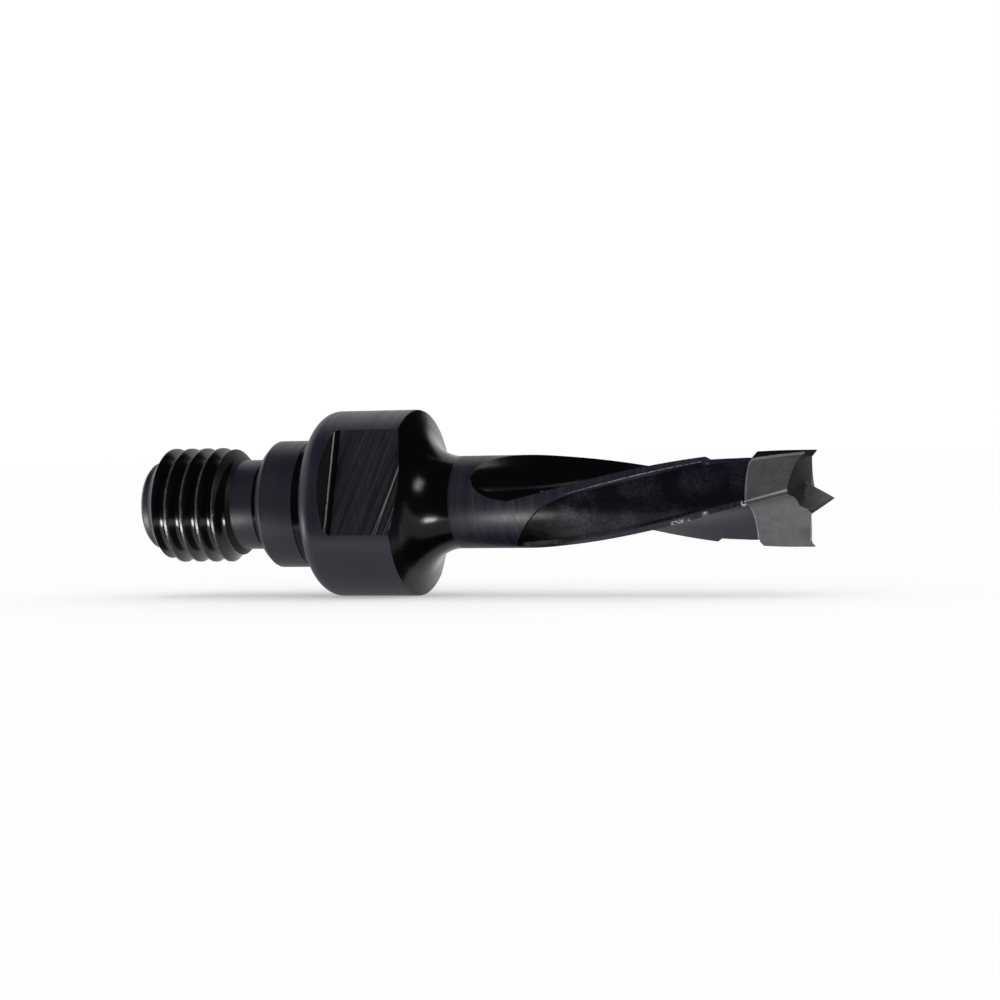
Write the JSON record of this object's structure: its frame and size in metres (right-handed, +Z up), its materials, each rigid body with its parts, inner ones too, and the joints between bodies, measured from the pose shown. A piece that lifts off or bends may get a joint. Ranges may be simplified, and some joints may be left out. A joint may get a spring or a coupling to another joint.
{
  "type": "dowel drill with threaded shank",
  "caption": "Two-flute dowel boring cutter with centre point and spurs, round pilot, collar with wrench flats and threaded shank.",
  "frame": {"origin": "on the resting surface, under the middle of the whole tool", "axes": "+X along the tool's axis towards the cutting tip, +Z up from the surface the collar rests on"},
  "size_m": [0.0615, 0.016, 0.016],
  "materials": {
    "black_steel": "blackened, satin on the turned faces and glossy in the flutes, flare and thread",
    "braze_solder": "bright silver solder",
    "ground_carbide": "fine ground, dark grey"
  },
  "bodies": {
    "root": {"steel_body": "black_steel", "braze_layer": "braze_solder", "carbide_head": "ground_carbide"}
  },
  "joints": []
}
